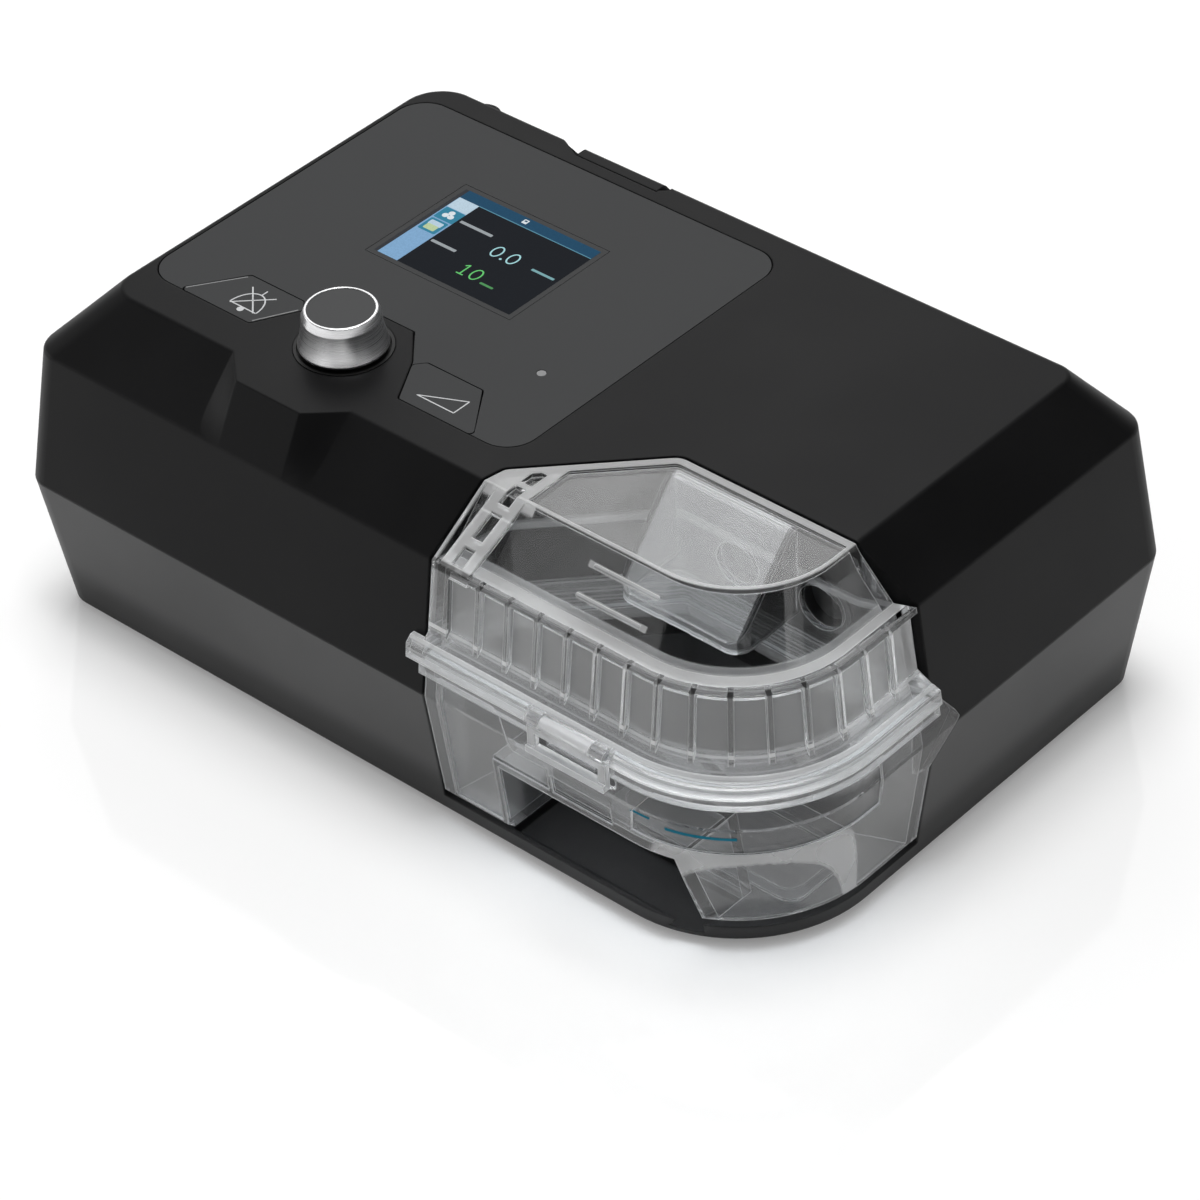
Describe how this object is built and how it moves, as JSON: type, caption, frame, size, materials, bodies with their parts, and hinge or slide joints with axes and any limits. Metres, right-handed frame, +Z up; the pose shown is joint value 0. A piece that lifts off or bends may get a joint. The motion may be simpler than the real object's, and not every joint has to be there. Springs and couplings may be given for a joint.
{
  "type": "cpap machine",
  "caption": "Bedside breathing-therapy blower with faceted casing, colour screen, turn-and-press knob, side keys and a clear slide-in heated water chamber with a latched ribbed lid.",
  "frame": {"origin": "floor level under the middle of the casing", "axes": "+X to the user's right, towards the water chamber; -Y is the front with the knob and the chamber's latch; +Z up"},
  "size_m": [0.2669, 0.1765, 0.1148],
  "materials": {
    "casing_black": "satin",
    "casing_lower": "satin",
    "panel_face": "matt",
    "key_plastic": "matt",
    "screen_glass": "polished",
    "knob_alloy": "fine turned satin",
    "knob_inlay": "matt",
    "trim_black": "satin",
    "clear_tub": "clear polished",
    "clear_lid": "clear polished",
    "clear_latch": "clear",
    "silicone": "translucent",
    "black_rubber": "matt",
    "steel": "brushed",
    "heater_metal": "anodised",
    "motor_metal": "plain",
    "duct_plastic": "plain",
    "impeller_plastic": "plain",
    "foam": "open-cell",
    "board_green": "lacquered",
    "component_black": "plain",
    "card_metal": "plain",
    "display_metal": "plain",
    "card_blue": "plain",
    "sensor_clear": "clear"
  },
  "bodies": {
    "case": {"bottom_case": "casing_lower", "top_cover": "casing_black", "control_panel": "panel_face", "display_lens": "screen_glass", "display_module": "display_metal", "display_bracket": "duct_plastic", "control_board": "board_green", "board_screws": "steel", "button_switches": "component_black", "knob_ring": "trim_black", "encoder_body": "component_black", "sensor_lens": "sensor_clear", "main_board": "board_green", "main_board_parts": "component_black", "power_inlet": "component_black", "card_slot": "card_metal", "air_outlet": "casing_black", "outlet_duct": "duct_plastic", "riser_duct": "duct_plastic", "port_seals": "silicone", "blower_lower": "duct_plastic", "blower_upper": "duct_plastic", "blower_mounts": "black_rubber", "motor_can": "motor_metal", "heater_plate": "heater_metal", "rubber_feet": "black_rubber", "case_screws": "steel", "muffler_foam": "foam"},
    "filter_door": {"filter_cover": "casing_black", "filter_foam": "foam"},
    "card": {"memory_card": "card_blue"},
    "mute_key": {"mute_button": "key_plastic"},
    "ramp_key": {"ramp_button": "key_plastic"},
    "knob_plunger": {"encoder_plunger": "component_black"},
    "knob": {"encoder_shaft": "steel", "knob_body": "knob_alloy", "knob_cap": "knob_inlay"},
    "chamber": {"water_tub": "clear_tub", "tub_base_plate": "steel"},
    "lid": {"chamber_lid": "clear_lid", "lid_seal": "silicone", "splash_chute": "clear_lid", "latch_pin": "steel"},
    "latch": {"chamber_latch": "clear_latch"},
    "fan": {"impeller": "impeller_plastic", "motor_shaft": "steel"}
  },
  "joints": [
    {"name": "chamber_slide", "type": "slide", "parent": "case", "child": "chamber", "axis": [0, -1, 0], "range_m": [0, 0.12]},
    {"name": "lid_lift", "type": "slide", "parent": "chamber", "child": "lid", "axis": [0, 0, 1], "range_m": [0, 0.06]},
    {"name": "latch_swing", "type": "hinge", "parent": "lid", "child": "latch", "pos_m": [0.0709, -0.0866, 0.0591], "axis": [-1, 0, 0], "range_deg": [0, 60]},
    {"name": "knob_press", "type": "slide", "parent": "case", "child": "knob_plunger", "axis": [0, 0, -1], "range_m": [0, 0.001], "stiffness_N_per_m": 1500, "springref_m": -0.001},
    {"name": "knob_spin", "type": "hinge", "parent": "knob_plunger", "child": "knob", "pos_m": [-0.04475, -0.042, 0.1026], "axis": [0, 0, 1], "continuous": true},
    {"name": "mute_press", "type": "slide", "parent": "case", "child": "mute_key", "axis": [0, 0, -1], "range_m": [0, 0.0008], "stiffness_N_per_m": 900, "springref_m": -0.0008},
    {"name": "ramp_press", "type": "slide", "parent": "case", "child": "ramp_key", "axis": [0, 0, -1], "range_m": [0, 0.0008], "stiffness_N_per_m": 900, "springref_m": -0.0008},
    {"name": "impeller_spin", "type": "hinge", "parent": "case", "child": "fan", "pos_m": [0.0704, 0.03553, 0.04], "axis": [0, 0, 1], "continuous": true},
    {"name": "filter_cover_slide", "type": "slide", "parent": "case", "child": "filter_door", "axis": [0, 1, 0], "range_m": [0, 0.025]},
    {"name": "memory_card_slide", "type": "slide", "parent": "case", "child": "card", "axis": [0, 1, 0], "range_m": [0, 0.028]}
  ]
}
